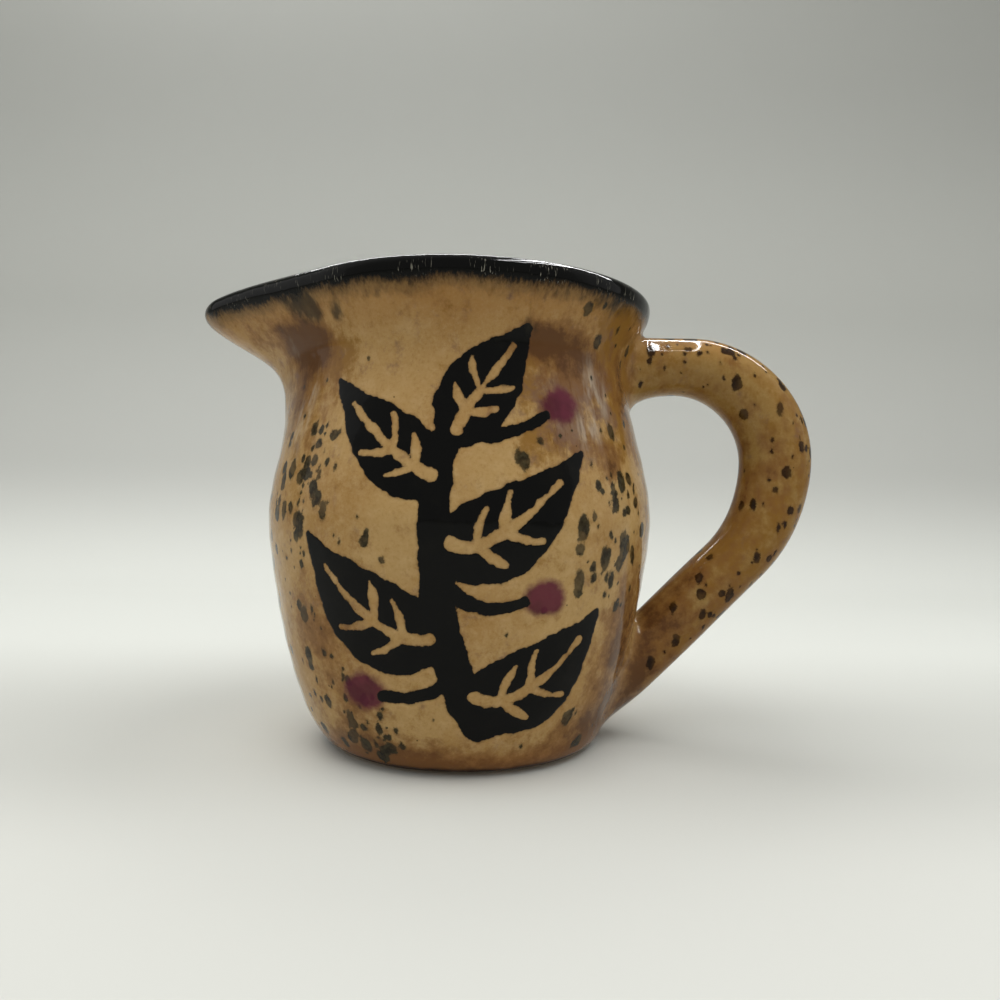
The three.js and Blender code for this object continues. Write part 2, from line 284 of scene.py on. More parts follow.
def foot_grid():
    """Bare clay below the glaze: flat underside, softened edge and the start of the heel."""
    centre = np.concatenate([[[FOOT_MIDDLE]], rows(FOOT_MIDDLE, FOOT_FLAT, 40)])
    soft = rows(0, math.pi / 2, 8)
    heel = HEEL_START + (glaze_line + 0.35 - HEEL_START) * rows(0, 1, 14)
    heel_radius, heel_level = under_face(heel, AZIMUTH, CLAY_DEPTH)
    marks = 0.05 * np.sin(centre * 2.4 + AZIMUTH) * ease(centre / 5) * ease((FOOT_FLAT - centre) / 3)
    edge_radius, edge_level = under_face(np.full_like(AZIMUTH, HEEL_START), AZIMUTH, CLAY_DEPTH)
    soft_radius = FOOT_FLAT + (edge_radius - FOOT_FLAT) * np.sin(soft)
    soft_level = edge_level * (1 - np.cos(soft))
    return np.concatenate(
        [
            around_axis(centre, FOOT_HOLLOW + marks, AZIMUTH),
            around_axis(soft_radius, soft_level, AZIMUTH),
            around_axis(heel_radius, heel_level, AZIMUTH),
        ]
    )


# Handle
def line(start, end):
    return lambda t: (start[0] + (end[0] - start[0]) * t, start[1] + (end[1] - start[1]) * t)


def arc(centre, radius, start, end):
    def point(t):
        angle = start + (end - start) * t
        return centre[0] + radius * np.cos(angle), centre[1] + radius * np.sin(angle)

    return point


def curve(start, middle, end):
    def point(t):
        a, b, c = (1 - t) ** 2, 2 * t * (1 - t), t**2
        return a * start[0] + b * middle[0] + c * end[0], a * start[1] + b * middle[1] + c * end[1]

    return point


def handle_edge(top, reach, sweep, toe):
    meeting = toe[1] + (reach - toe[0]) / math.tan(TAIL_ANGLE)
    level = meeting + sweep * math.tan(TAIL_ANGLE / 2)
    bend = top - level
    sweep_end = (
        reach - sweep + sweep * math.cos(TAIL_ANGLE),
        level - sweep * math.sin(TAIL_ANGLE),
    )
    return [
        line((NECK_RADIUS - HANDLE_ROOT, top), (reach - bend, top)),
        arc((reach - bend, level), bend, math.pi / 2, 0),
        arc((reach - sweep, level), sweep, 0, -TAIL_ANGLE),
        line(sweep_end, toe),
    ]


tail = (-math.sin(TAIL_ANGLE), -math.cos(TAIL_ANGLE))
toe_radius = FOOT_RADIUS - TOE_INSET
outer_toe = (FOOT_RADIUS + TOE_OUT, TOE_HEIGHT)
inner_toe = (
    outer_toe[0] + tail[1] * HANDLE_TAIL_THICKNESS,
    outer_toe[1] - tail[0] * HANDLE_TAIL_THICKNESS,
)
inner_reach = BELLY_RADIUS + FINGER_ROOM
inner_edge = handle_edge(HANDLE_TOP - HANDLE_TOP_THICKNESS, inner_reach, INNER_SWEEP_RADIUS, inner_toe)
inner_edge.append(line(inner_toe, (toe_radius, inner_toe[1] - (inner_toe[0] - toe_radius) / 2)))
outer_edge = handle_edge(HANDLE_TOP, inner_reach + HANDLE_BEND_THICKNESS, OUTER_SWEEP_RADIUS, outer_toe)
toe_bend = (outer_toe[0] + tail[0] * TOE_HEIGHT / 2, outer_toe[1] + tail[1] * TOE_HEIGHT / 2)
outer_edge.append(curve(outer_toe, toe_bend, (toe_radius, TOE_END)))


def on_edge(edge, station):
    """Point of an edge at a station: the whole part counts its stretches, the rest is the way along one."""
    part = np.clip(np.floor(station), 0, len(edge) - 1)
    share = station - part
    x, z = np.zeros_like(share), np.zeros_like(share)
    for number, stretch in enumerate(edge):
        here = part == number
        px, pz = stretch(share)
        x, z = np.where(here, px, x), np.where(here, pz, z)
    return x, z


def on_handle(station, angle):
    """Point of the handle's skin. The angle is 0 on the outer edge and half a turn on the inner one."""
    inner_x, inner_z = on_edge(inner_edge, station)
    outer_x, outer_z = on_edge(outer_edge, station)
    pull = 1 + 0.008 * np.sin(station * 4.1 + angle * 2) + 0.006 * np.sin(station * 7.3 - angle)
    share = 0.5 + 0.5 * np.cos(angle) * pull
    x = inner_x + (outer_x - inner_x) * share
    z = inner_z + (outer_z - inner_z) * share
    y = HANDLE_WIDTH / 2 * np.sin(angle) * pull
    return np.stack(np.broadcast_arrays(x, y, z), axis=-1)


STATIONS = np.linspace(0, 5, 1001)
middle_line = (on_handle(STATIONS, 0 * STATIONS) + on_handle(STATIONS, 0 * STATIONS + math.pi)) / 2
LENGTHS = np.concatenate([[0], np.cumsum(np.linalg.norm(np.diff(middle_line, axis=0), axis=1))])


def length_at(station):
    """Length of the handle's middle line up to a station."""
    return np.interp(station, STATIONS, LENGTHS)


def station_at(length):
    return np.interp(length, LENGTHS, STATIONS)


def above_wall(point):
    azimuth = np.arctan2(-point[..., 1], -point[..., 0])
    return np.hypot(point[..., 0], point[..., 1]) - drawn_radius(point[..., 2], azimuth)


def wall_normal(point):
    nudge = 0.02
    slope = [above_wall(point + step) - above_wall(point - step) for step in np.eye(3) * nudge]
    normal = np.stack(slope, axis=-1)
    return normal / np.linalg.norm(normal, axis=-1, keepdims=True)


def onto_wall(point):
    for _ in range(6):
        point = point - wall_normal(point) * above_wall(point)[..., None]
    return point


def meeting_station(inside, outside, angle):
    """Station at which each line along the handle passes through the wall."""
    low, high = np.full_like(angle, inside), np.full_like(angle, outside)
    for _ in range(40):
        middle = (low + high) / 2
        buried = above_wall(on_handle(middle, angle)) < 0
        low = np.where(buried, middle, low)
        high = np.where(buried, high, middle)
    return (low + high) / 2


def fillet(station, angle, away, on_skin, on_wall, count):
    """Rows of points from the wall to the handle's skin that round off the corner between them."""
    corner = on_handle(station, angle)
    start_station = station_at(length_at(station) + away * on_skin)
    start = on_handle(start_station, angle)
    rim = np.roll(corner, -1, axis=0) - np.roll(corner, 1, axis=0)
    outward = np.cross(wall_normal(corner), rim)
    outward /= np.linalg.norm(outward, axis=-1, keepdims=True)
    facing = np.sum(outward * (corner - corner.mean(axis=0)), axis=-1, keepdims=True)
    outward = outward * np.sign(facing)
    end = onto_wall(corner + outward * on_wall[:, None])
    normal = wall_normal(end)
    back = corner - end
    back = back - normal * np.sum(back * normal, axis=-1, keepdims=True)
    end = end - 0.004 * normal
    ahead = on_handle(station_at(length_at(start_station) - away * 0.1), angle) - start
    to_corner = np.linalg.norm(corner - start, axis=-1, keepdims=True)
    ahead *= to_corner / np.linalg.norm(ahead, axis=-1, keepdims=True)
    t = np.linspace(0, 1, count)[:, None, None]
    held = 0.62
    points = (
        (1 - t) ** 3 * end
        + 3 * t * (1 - t) ** 2 * (end + held * back)
        + 3 * t**2 * (1 - t) * (start + held * ahead)
        + t**3 * start
    )
    return points, start_station, normal


def grip_grid():
    """The handle from its upper to its lower joint, with a fillet at each end."""
    angle = np.linspace(0, 2 * math.pi, HANDLE_AROUND, endpoint=False)
    outer_side = 0.5 + 0.5 * np.cos(angle)
    flank = np.abs(np.sin(angle))
    upper_skin = 1.3 + 10.5 * (1 - outer_side) ** 1.5 + 1.2 * flank
    upper_wall = 1.1 + 4.6 * (1 - outer_side) ** 1.2 + 1.8 * flank
    lower_skin = 3.0 + 5.5 * flank**2 + 6.0 * outer_side
    lower_wall = 1.3 + 6.2 * flank**2 + 0.6 * outer_side
    upper, upper_start, upper_normal = fillet(
        meeting_station(0, 1, angle), angle, 1, upper_skin, upper_wall, 24
    )
    lower, lower_start, lower_normal = fillet(
        meeting_station(4.999, 3, angle), angle, -1, lower_skin, lower_wall, 30
    )
    from_length, to_length = length_at(upper_start), length_at(lower_start)
    share = np.linspace(0, 1, HANDLE_ROWS)[1:-1, None]
    middle = on_handle(station_at(from_length + (to_length - from_length) * share), angle)
    points = np.concatenate([upper, middle, lower[::-1]])
    normals = -grid_normals(points)
    normals[0], normals[-1] = upper_normal, lower_normal
    return points, normals, np.broadcast_to(angle, points.shape[:2]), len(upper), len(upper) + len(middle)


# Meshes
def grid_piece(name, points, normals, flip=False):
    """A piece from a grid of points in millimetres that closes on itself along its second axis."""
    count, around = points.shape[:2]
    index = np.arange(count * around).reshape(count, around)
    here, beside = index, np.roll(index, -1, axis=1)
    quads = np.stack([here[:-1], beside[:-1], beside[1:], here[1:]], axis=-1).reshape(-1, 4)
    across = np.arange(around) / around
    down = np.arange(count) / (count - 1)
    shape = (count - 1, around)
    left, right = np.broadcast_to(across, shape), np.broadcast_to(across + 1 / around, shape)
    low, high = np.broadcast_to(down[:-1, None], shape), np.broadcast_to(down[1:, None], shape)
    corners = [(left, low), (right, low), (right, high), (left, high)]
    flat = np.stack([np.stack(corner, -1) for corner in corners], axis=-2).reshape(-1, 4, 2)
    if flip:
        quads, flat = quads[:, ::-1], flat[:, ::-1]
    mesh = bpy.data.meshes.new(name)
    mesh.from_pydata((points.reshape(-1, 3) * MM).tolist(), [], quads.tolist())
    layer = mesh.uv_layers.new(name="OFBake")
    layer.data.foreach_set("uv", flat.astype(np.float32).ravel())
    mesh.polygons.foreach_set("use_smooth", np.ones(len(mesh.polygons), bool))
    mesh.normals_split_custom_set_from_vertices(normals.reshape(-1, 3).tolist())
    mesh.update()
    piece = bpy.data.objects.new(name, mesh)
    bpy.context.scene.collection.objects.link(piece)
    return piece


def add_field(piece, name, values):
    field = piece.data.attributes.new(name, "FLOAT", "POINT")
    field.data.foreach_set("value", np.asarray(values, np.float32).ravel())


# Painting: fields on the surface that the glaze materials read
def cloud(points, places):
    """Sum of soft patches: degrees round from the front, level, half width, half height and strength."""
    x, y, z = points[..., 0], points[..., 1], points[..., 2]
    round_front = np.arctan2(x, -y)
    radius = np.hypot(x, y)
    total = np.zeros_like(x)
    for degrees, level, wide, high, strength in places:
        gap = round_front - math.radians(degrees)
        gap = np.arctan2(np.sin(gap), np.cos(gap)) * radius
        total += strength * np.exp(-((gap / wide) ** 2) - ((z - level) / high) ** 2)
    return total


def stroke(across, level, bends, widths):
    """Signed distance to a brush stroke: a smooth path through a few points, with widths along it."""
    bends, widths = np.array(bends, float), np.array(widths, float)
    knots = np.linspace(0, 1, len(bends))
    t = np.linspace(0, 1, 60)
    fine = np.stack([smooth_path(knots, bends[:, 0], t), smooth_path(knots, bends[:, 1], t)], axis=-1)
    half = np.maximum(np.interp(t, np.linspace(0, 1, len(widths)), widths), 0.05) / 2
    near = np.full(across.shape, 1e3)
    for (u, v), w in zip(fine, half):
        near = np.minimum(near, np.hypot(across - u, level - v) - w)
    return near


def smooth_path(knots, values, t):
    """Curve of a low degree through all the values."""
    return np.polyval(np.polyfit(knots, values, len(knots) - 1), t)


LEAF_WIDTHS = [1.6, 5.0, 8.6, 10.6, 11.0, 9.8, 7.4, 4.2, 1.0]


def leaf(across, level, base, middle, tip, width):
    """Leaf as a broad stroke, and its bare veins as fine ones."""
    size = [w * width / 11 for w in LEAF_WIDTHS]
    blade = stroke(across, level, [base, middle, tip], size)
    knots = np.array([0, 0.5, 1])
    path = np.array([base, middle, tip], float)
    rib = [smooth_path(knots, path[:, k], np.array([0.12, 0.45, 0.86])) for k in range(2)]
    veins = stroke(across, level, list(zip(*rib)), [2.3, 1.9, 1.0])
    for share in (0.3, 0.5):
        start = [smooth_path(knots, path[:, k], share) for k in range(2)]
        ahead = [smooth_path(knots, path[:, k], share + 0.16) for k in range(2)]
        run = np.array(ahead) - np.array(start)
        reach = width * (0.36 - 0.3 * abs(share - 0.42))
        side = np.array([-run[1], run[0]]) / np.hypot(*run) * reach
        for sign in (1, -1):
            end = np.array(start) + run * 0.9 + sign * side
            bow = (np.array(start) + end) / 2 + sign * side * 0.1
            veins = np.minimum(veins, stroke(across, level, [start, bow, end], [1.6, 1.5, 0.9]))
    return blade, veins


def painted_sprig(points):
    """Signed distance to a plain sprig of leaves on the front of the wall, and soft berry dabs beside it."""
    x, y, z = points[..., 0], points[..., 1], points[..., 2]
    across = np.arctan2(x, -y) * np.hypot(x, y)
    stem = stroke(across, z, [(5, 11), (-1.5, 30), (-2.5, 50), (0.5, 63)], [6.8, 5.8, 5.0, 4.2])
    ink, bare = stem, np.full_like(stem, 1e3)
    leaves = [
        ((1.5, 17), (14, 17), (28, 30), 15),
        ((-0.5, 27), (-13, 28.5), (-27.5, 43), 15.5),
        ((-2, 43), (9, 44), (23.5, 57.5), 15),
        ((-1.5, 53), (-10, 57.5), (-22, 70), 13),
        ((0, 59), (4.5, 68), (13, 79), 13),
    ]
    for base, middle, tip, width in leaves:
        blade, veins = leaf(across, z, base, middle, tip, width)
        ink = np.minimum(ink, blade)
        bare = np.minimum(bare, veins)
    berries = [((16.5, 33), 3.1), ((-15.5, 16), 3.3), ((19, 66), 3.0)]
    dabs = np.full_like(stem, 1e3)
    for (u, v), size in berries:
        dabs = np.minimum(dabs, np.hypot((across - u) / 1.2, z - v) - size)
    stalks = [
        ([(0, 34), (6, 31.5), (12.5, 32.5)], [2.6, 2.2, 1.8]),
        ([(2, 20), (-5, 16), (-11.5, 15.5)], [2.6, 2.2, 1.8]),
        ([(2, 60), (9, 60.5), (16, 64)], [2.6, 2.2, 1.8]),
    ]
    for bends, widths in stalks:
        ink = np.minimum(ink, stroke(across, z, bends, widths))
    return np.clip(np.maximum(ink, -bare), -20, 20), np.clip(dabs, -20, 20)


def choose_spots(points, chance, count, smallest, largest, seed):
    """Round iron spots that lie at random on a surface, closer together where their chance is higher."""
    dice = np.random.default_rng(seed)
    flat = points.reshape(-1, 3)
    weight = chance.ravel() * np.linalg.norm(grid_facing(points), axis=-1).ravel()
    centres = flat[dice.choice(len(flat), count, p=weight / weight.sum())]
    radii = smallest + (largest - smallest) * dice.random(count) ** 2.4
    return list(zip(centres, radii, 1 + 0.9 * dice.random(count)))


def near_spots(points, spots):
    """Signed distance to the nearest spot. Spots are taller than wide."""
    flat = points.reshape(-1, 3)
    order = np.argsort(flat[:, 2])
    climbing = flat[order]
    near = np.full(len(flat), 5.0)
    for centre, radius, tall in spots:
        low, high = np.searchsorted(climbing[:, 2], (centre[2] - 5, centre[2] + 5))
        gap = (climbing[low:high] - centre) / (1, 1, tall)
        near[low:high] = np.minimum(near[low:high], np.linalg.norm(gap, axis=1) - radius)
    field = np.empty_like(near)
    field[order] = near
    return field.reshape(points.shape[:2])


BROWN_PLACES = [
    (-55, 78.5, 6, 4.5, 1.25),
    (-49, 77, 4, 4, 1.5),
    (-62, 78, 4, 4, 1.1),
    (-60, 64, 4, 6, 0.45),
    (-58, 68, 4, 7, 0.65),
    (-45, 62, 4, 6, 0.65),
    (-72, 80, 5, 3, 0.5),
    (-52, 72, 12, 9, 0.3),
    (26, 77.5, 4, 2.8, 1.5),
    (31, 75.5, 9, 4.5, 0.85),
    (43, 75, 7, 5, 0.8),
    (36, 68, 3, 6, 0.3),
    (40, 60, 8, 4, 0.4),
    (66, 66, 3, 12, 0.7),
    (66, 74, 7, 8, 0.6),
    (48, 57, 6, 4, 0.8),
    (-41, 26, 8, 8, 0.9),
    (-33, 13, 7, 6, 0.7),
    (-24, 5, 10, 4, 0.8),
    (56, 24, 6, 12, 0.9),
    (66, 24, 7, 14, 0.8),
    (52, 8, 9, 7, 0.9),
    (0, 1, 70, 4.6, 1.1),
    (90, 13, 12, 12, 0.9),
    (90, 78, 9, 6, 0.6),
    (115, 40, 9, 16, 0.7),
    (150, 66, 9, 10, 0.8),
    (185, 28, 13, 9, 0.75),
    (215, 60, 8, 13, 0.75),
    (245, 36, 9, 12, 0.7),
    (262, 72, 6, 8, 0.9),
    (180, 1, 70, 4.6, 1.1),
]
AMBER_PLACES = [
    (53, 83, 5, 2.6, 1.2),
    (60, 79, 4, 4, 0.9),
    (73, 69, 3.5, 13, 1.0),
    (66, 71, 7, 9, 0.6),
    (60, 64, 5, 6, 0.5),
    (48, 72, 14, 12, 0.6),
    (22, 71, 2.6, 7, 0.9),
    (25, 60, 6, 4, 0.8),
    (50, 57, 6, 5, 0.5),
    (70, 40, 4, 16, 0.6),
    (-55, 74, 12, 9, 0.45),
    (-70, 82, 5, 2.5, 0.5),
    (-50, 58, 4, 6, 0.5),
    (-38, 74, 5, 6, 0.7),
    (-60, 71, 4, 6, 0.4),
    (128, 76, 6, 7, 1.0),
    (172, 60, 5, 10, 0.9),
    (238, 50, 5, 10, 0.8),
]
MAUVE_PLACES = [
    (36, 69, 8, 8, 1.1),
    (33, 60, 6, 4, 0.8),
    (52, 70, 4, 8, 0.65),
    (-55, 76, 5, 4, 0.9),
    (-62, 71, 4, 7, 0.6),
    (-42, 29, 5, 7, 0.6),
    (160, 70, 10, 9, 1.1),
    (225, 68, 8, 9, 1.0),
]
# Pale upright patches on the neck: painted reflections of the lamps.
PAINTED_REFLECTION_PLACES = [
    (45, 70, 3.2, 6, 0.75),
    (40, 62, 3.2, 5, 0.75),
    (51, 66, 2, 7, 0.4),
    (29, 66, 2, 6, 0.5),
    (-63, 78, 1.8, 5, 0.35),
    (-50, 71, 1.6, 7, 0.6),
    (-54, 62, 3, 8, 0.7),
    (155, 68, 3, 7, 0.9),
    (168, 62, 3, 6, 0.8),
    (222, 66, 3, 7, 0.9),
]
SMUDGE_PLACES = [
    (-52, 84.5, 4, 2.6, 0.9),
    (-46, 83.5, 2.6, 3, 1.0),
    (-36, 82, 2, 2.4, 0.9),
    (-62, 80.5, 2.4, 1.6, 0.4),
    (-22, 84, 5, 2, 0.5),
    (22, 79.5, 2, 1.6, 0.8),
    (31, 84.5, 6, 1.8, 0.5),
    (48, 85, 5, 2, 0.6),
    (120, 84, 5, 2, 0.6),
    (165, 84, 6, 2.4, 0.7),
    (210, 84, 5, 2.2, 0.6),
    (250, 84, 6, 2, 0.7),
]
SPOT_PLACES = [
    (-47, 52, 9, 9, 1.0),
    (-44, 41, 8, 7, 0.8),
    (-39, 59, 5, 5, 0.8),
    (-27, 31, 5, 4, 0.7),
    (-38, 32, 7, 5, 0.5),
    (-34, 17, 8, 7, 1.0),
    (-29, 8, 8, 4, 0.9),
    (50, 52, 7, 9, 1.0),
    (47, 40, 7, 8, 0.8),
    (25, 60, 6, 4, 0.6),
    (55, 82, 5, 3, 0.8),
    (56, 28, 6, 8, 0.12),
    (40, 8, 12, 3, 0.2),
    (130, 30, 14, 12, 0.6),
    (170, 50, 14, 12, 0.6),
    (205, 20, 12, 10, 0.6),
    (232, 50, 12, 12, 0.7),
    (110, 62, 9, 9, 0.6),
    (270, 40, 10, 14, 0.7),
    (282, 22, 10, 10, 0.6),
]


def washes(points):
    """Soft patches of colour that lie under the clear glaze of the wall, and pale patches of painted
    reflection.
    """
    return {
        "brown": cloud(points, BROWN_PLACES),
        "amber": cloud(points, AMBER_PLACES),
        "mauve": cloud(points, MAUVE_PLACES),
        "painted_reflection": cloud(points, PAINTED_REFLECTION_PLACES),
        "smudge_and_joint_shade": cloud(points, SMUDGE_PLACES),
    }


def wall_fields(points):
    """What lies where on the wall, inside and out, and the spots on it."""
    row = np.arange(len(points))[:, None]
    outside = row < ends["rim"] - INNER_RIM_ROWS
    front = outside & (points[..., 1] < -6)
    ink, dabs = np.full(points.shape[:2], 20.0), np.full(points.shape[:2], 20.0)
    ink[front], dabs[front] = painted_sprig(points[front])
    chance = (0.03 + cloud(points, SPOT_PLACES)) * np.where(outside, 1, 0.25) * (ink > 1.5)
    spots = choose_spots(points, chance, 950, 0.28, 1.4, 5)
    fields = washes(points)
    fields["ink"] = ink
    fields["dab"] = dabs
    fields["spot"] = near_spots(points, spots)
    fields["tick"] = ease((ends["wall"] + TICK_ROWS - row) / 10) + 0 * ink
    return fields, spots


def handle_fields(points, angle, wall_spots):
    """What lies where on the handle. Close to the wall, what lies there runs on."""
    x, z = points[..., 0], points[..., 2]
    shank = ease(above_wall(points) / 3.5)
    inner_side = 0.5 - 0.5 * np.cos(angle)
    low = ease((46 - z) / 34)
    brown = 0.1 + 0.6 * low + 0.55 * inner_side * ease((76 - z) / 16)
    brown += 0.45 * ease((42 - x) / 6) * ease((60 - z) / 40)
    own = {
        "brown": brown,
        "amber": 0.2 + 0.5 * ease((68 - z) / 16) * ease((z - 8) / 16) + 0.12 * np.sin(z * 0.21 + x * 0.1),
        "mauve": 0 * x,
        "painted_reflection": 0 * x,
        # Darker grey where the handle's top meets the neck: painted shade in the joint, with a painted
        # reflection of the dark rim.
        "smudge_and_joint_shade": 0.7 * ease((36.5 - x) / 3) * ease((z - 70) / 6),
    }
    fields = {name: beside + (own[name] - beside) * shank for name, beside in washes(points).items()}
    row = np.cumsum(np.linalg.norm(np.gradient(points.mean(axis=1), axis=0), axis=1))[:, None]
    grain = np.sin(5 * angle + 0.09 * row) + np.sin(9 * angle - 0.05 * row + 1.3)
    grain = grain + np.sin(16 * angle + 0.13 * row + 0.4)
    fields["grain"] = grain * (0.6 + 0.4 * np.sin(0.16 * row + 2 * angle)) / 3 * shank
    chance = 0.1 + 0.9 * (1 - inner_side) ** 1.5 + 0.3 * ease((z - 70) / 8)
    chance = chance * (1 - 0.8 * ease((34 - z) / 18)) * shank
    spots = choose_spots(points, chance, 430, 0.24, 1.15, 12)
    own_spots, beside_spots = near_spots(points, spots), near_spots(points, wall_spots)
    fields["spot"] = np.minimum(own_spots + 3 - 3 * shank, beside_spots + 3 * shank)
    fields["shank"] = shank
    return fields


# Materials
def tint(red, green, blue):
    """A colour from its display values."""
    shares = [c / 255 for c in (red, green, blue)]
    return tuple(((c + 0.055) / 1.055) ** 2.4 if c > 10 / 255 else c / 12.92 for c in shares) + (1,)


class Look:
    """A material whose nodes are added one by one."""

    def __init__(self, name):
        self.material = bpy.data.materials.new(name)
        self.material.use_nodes = True
        self.nodes = self.material.node_tree.nodes
        self.links = self.material.node_tree.links
        self.shader = self.nodes["Principled BSDF"]
        place = self.nodes.new("ShaderNodeTexCoord").outputs["Object"]
        self.place = self.vector("MULTIPLY", place, (1000, 1000, 1000))

    def feed(self, socket, value):
        if isinstance(value, bpy.types.NodeSocket):
            self.links.new(value, socket)
        else:
            socket.default_value = value

    def math(self, operation, *values):
        node = self.nodes.new("ShaderNodeMath")
        node.operation = operation
        for socket, value in zip(node.inputs, values):
            self.feed(socket, value)
        return node.outputs[0]

    def vector(self, operation, *values):
        node = self.nodes.new("ShaderNodeVectorMath")
        node.operation = operation
        for socket, value in zip(node.inputs, values):
            self.feed(socket, value)
        return node.outputs[0]

    def field(self, name):
        node = self.nodes.new("ShaderNodeAttribute")
        node.attribute_name = name
        return node.outputs["Fac"]

    def level(self):
        node = self.nodes.new("ShaderNodeSeparateXYZ")
        self.feed(node.inputs[0], self.place)
        return node.outputs["Z"]

    def noise(self, size, detail=2.0, rough=0.5, stretch=(1, 1, 1), shift=0.0, colour=False):
        """Noise whose features are about size millimetres across, longer by stretch along each axis."""
        node = self.nodes.new("ShaderNodeTexNoise")
        scale = tuple(1 / (size * s) for s in stretch)
        place = self.vector("MULTIPLY", self.place, scale)
        self.feed(node.inputs["Vector"], self.vector("ADD", place, (shift, shift * 1.7, shift * 0.6)))
        node.inputs["Scale"].default_value = 1.0
        node.inputs["Detail"].default_value = detail
        node.inputs["Roughness"].default_value = rough
        return node.outputs[1] if colour else node.outputs[0]

    def fade(self, value, start, end):
        """0 up to start, 1 from end on, and smooth between."""
        node = self.nodes.new("ShaderNodeMapRange")
        node.interpolation_type = "SMOOTHSTEP"
        self.feed(node.inputs["Value"], value)
        self.feed(node.inputs["From Min"], start)
        self.feed(node.inputs["From Max"], end)
        return node.outputs[0]

    def mix(self, share, first, second):
        node = self.nodes.new("ShaderNodeMix")
        node.data_type = "RGBA"
        self.feed(node.inputs[0], share)
        self.feed(node.inputs[6], first)
        self.feed(node.inputs[7], second)
        return node.outputs[2]

    def stain(self, colour, share, strength, over):
        """A colour with another laid over a share of it, no stronger than given."""
        return self.mix(self.math("MULTIPLY", share, strength), colour, over)

    def swing(self, size, detail, rough, **kind):
        """Noise about 0."""
        return self.math("SUBTRACT", self.noise(size, detail, rough, **kind), 0.5)

    def spots(self, cell, smallest, largest, share, ragged, shift):
        """How far a place is inside a spot, in millimetres. A share of the cells has a spot each."""
        push = self.noise(cell * 0.35, 2, 0.6, shift=shift, colour=True)
        push = self.vector("SUBTRACT", push, (0.5, 0.5, 0.5))
        place = self.vector("ADD", self.place, self.vector("MULTIPLY", push, (ragged, ragged, ragged)))
        node = self.nodes.new("ShaderNodeTexVoronoi")
        self.feed(node.inputs["Vector"], self.vector("ADD", place, (shift * 31, shift * 17, shift * 23)))
        node.inputs["Scale"].default_value = 1 / cell
        node.inputs["Randomness"].default_value = 1.0
        parts = self.nodes.new("ShaderNodeSeparateColor")
        self.feed(parts.inputs[0], node.outputs["Color"])
        size = self.math("POWER", parts.outputs[0], 2.2)
        size = self.math("MULTIPLY_ADD", size, largest - smallest, smallest)
        inside = self.math("SUBTRACT", size, self.math("MULTIPLY", node.outputs["Distance"], cell))
        present = self.math("LESS_THAN", parts.outputs[1], share)
        return self.math("MULTIPLY_ADD", present, 10.0, self.math("SUBTRACT", inside, 10.0))

    def bump(self, height, distance, below=None):
        node = self.nodes.new("ShaderNodeBump")
        node.inputs["Strength"].default_value = 1.0
        node.inputs["Distance"].default_value = distance
        self.feed(node.inputs["Height"], height)
        if below is not None:
            self.links.new(below, node.inputs["Normal"])
        return node.outputs[0]


TAN = tint(173, 141, 91)
TAN_WARM = tint(161, 126, 76)
TAN_PALE = tint(189, 160, 114)
KHAKI = tint(150, 121, 70)
KHAKI_WARM = tint(138, 106, 56)
KHAKI_PALE = tint(164, 137, 88)
# Warmer tan for the collar, partly painted shade where it faces down.
COLLAR_TONE_AND_SHADE = tint(148, 104, 54)
HEEL_WARM = tint(150, 100, 52)
# Near-black brown of the painted contact shadow along the foot.
CONTACT_SHADOW = tint(44, 24, 7)
AMBER = tint(128, 90, 34)
BROWN = tint(122, 84, 44)
BROWN_DEEP = tint(84, 54, 30)
MAUVE = tint(114, 86, 70)
# Pale colour of the painted reflections on the neck.
PAINTED_REFLECTION = tint(190, 178, 158)
OLIVE = tint(56, 50, 32)
OLIVE_DARK = tint(32, 26, 13)
RUST = tint(50, 30, 8)
RUST_DARK = tint(30, 16, 3)
INK = tint(5, 5, 4)
INK_SOFT = tint(34, 31, 22)
# Pale grey of scratches on the lip, painted as glints.
SCRATCH_GLINT = tint(176, 172, 156)
PURPLE = tint(92, 32, 50)
PURPLE_DEEP = tint(76, 24, 40)


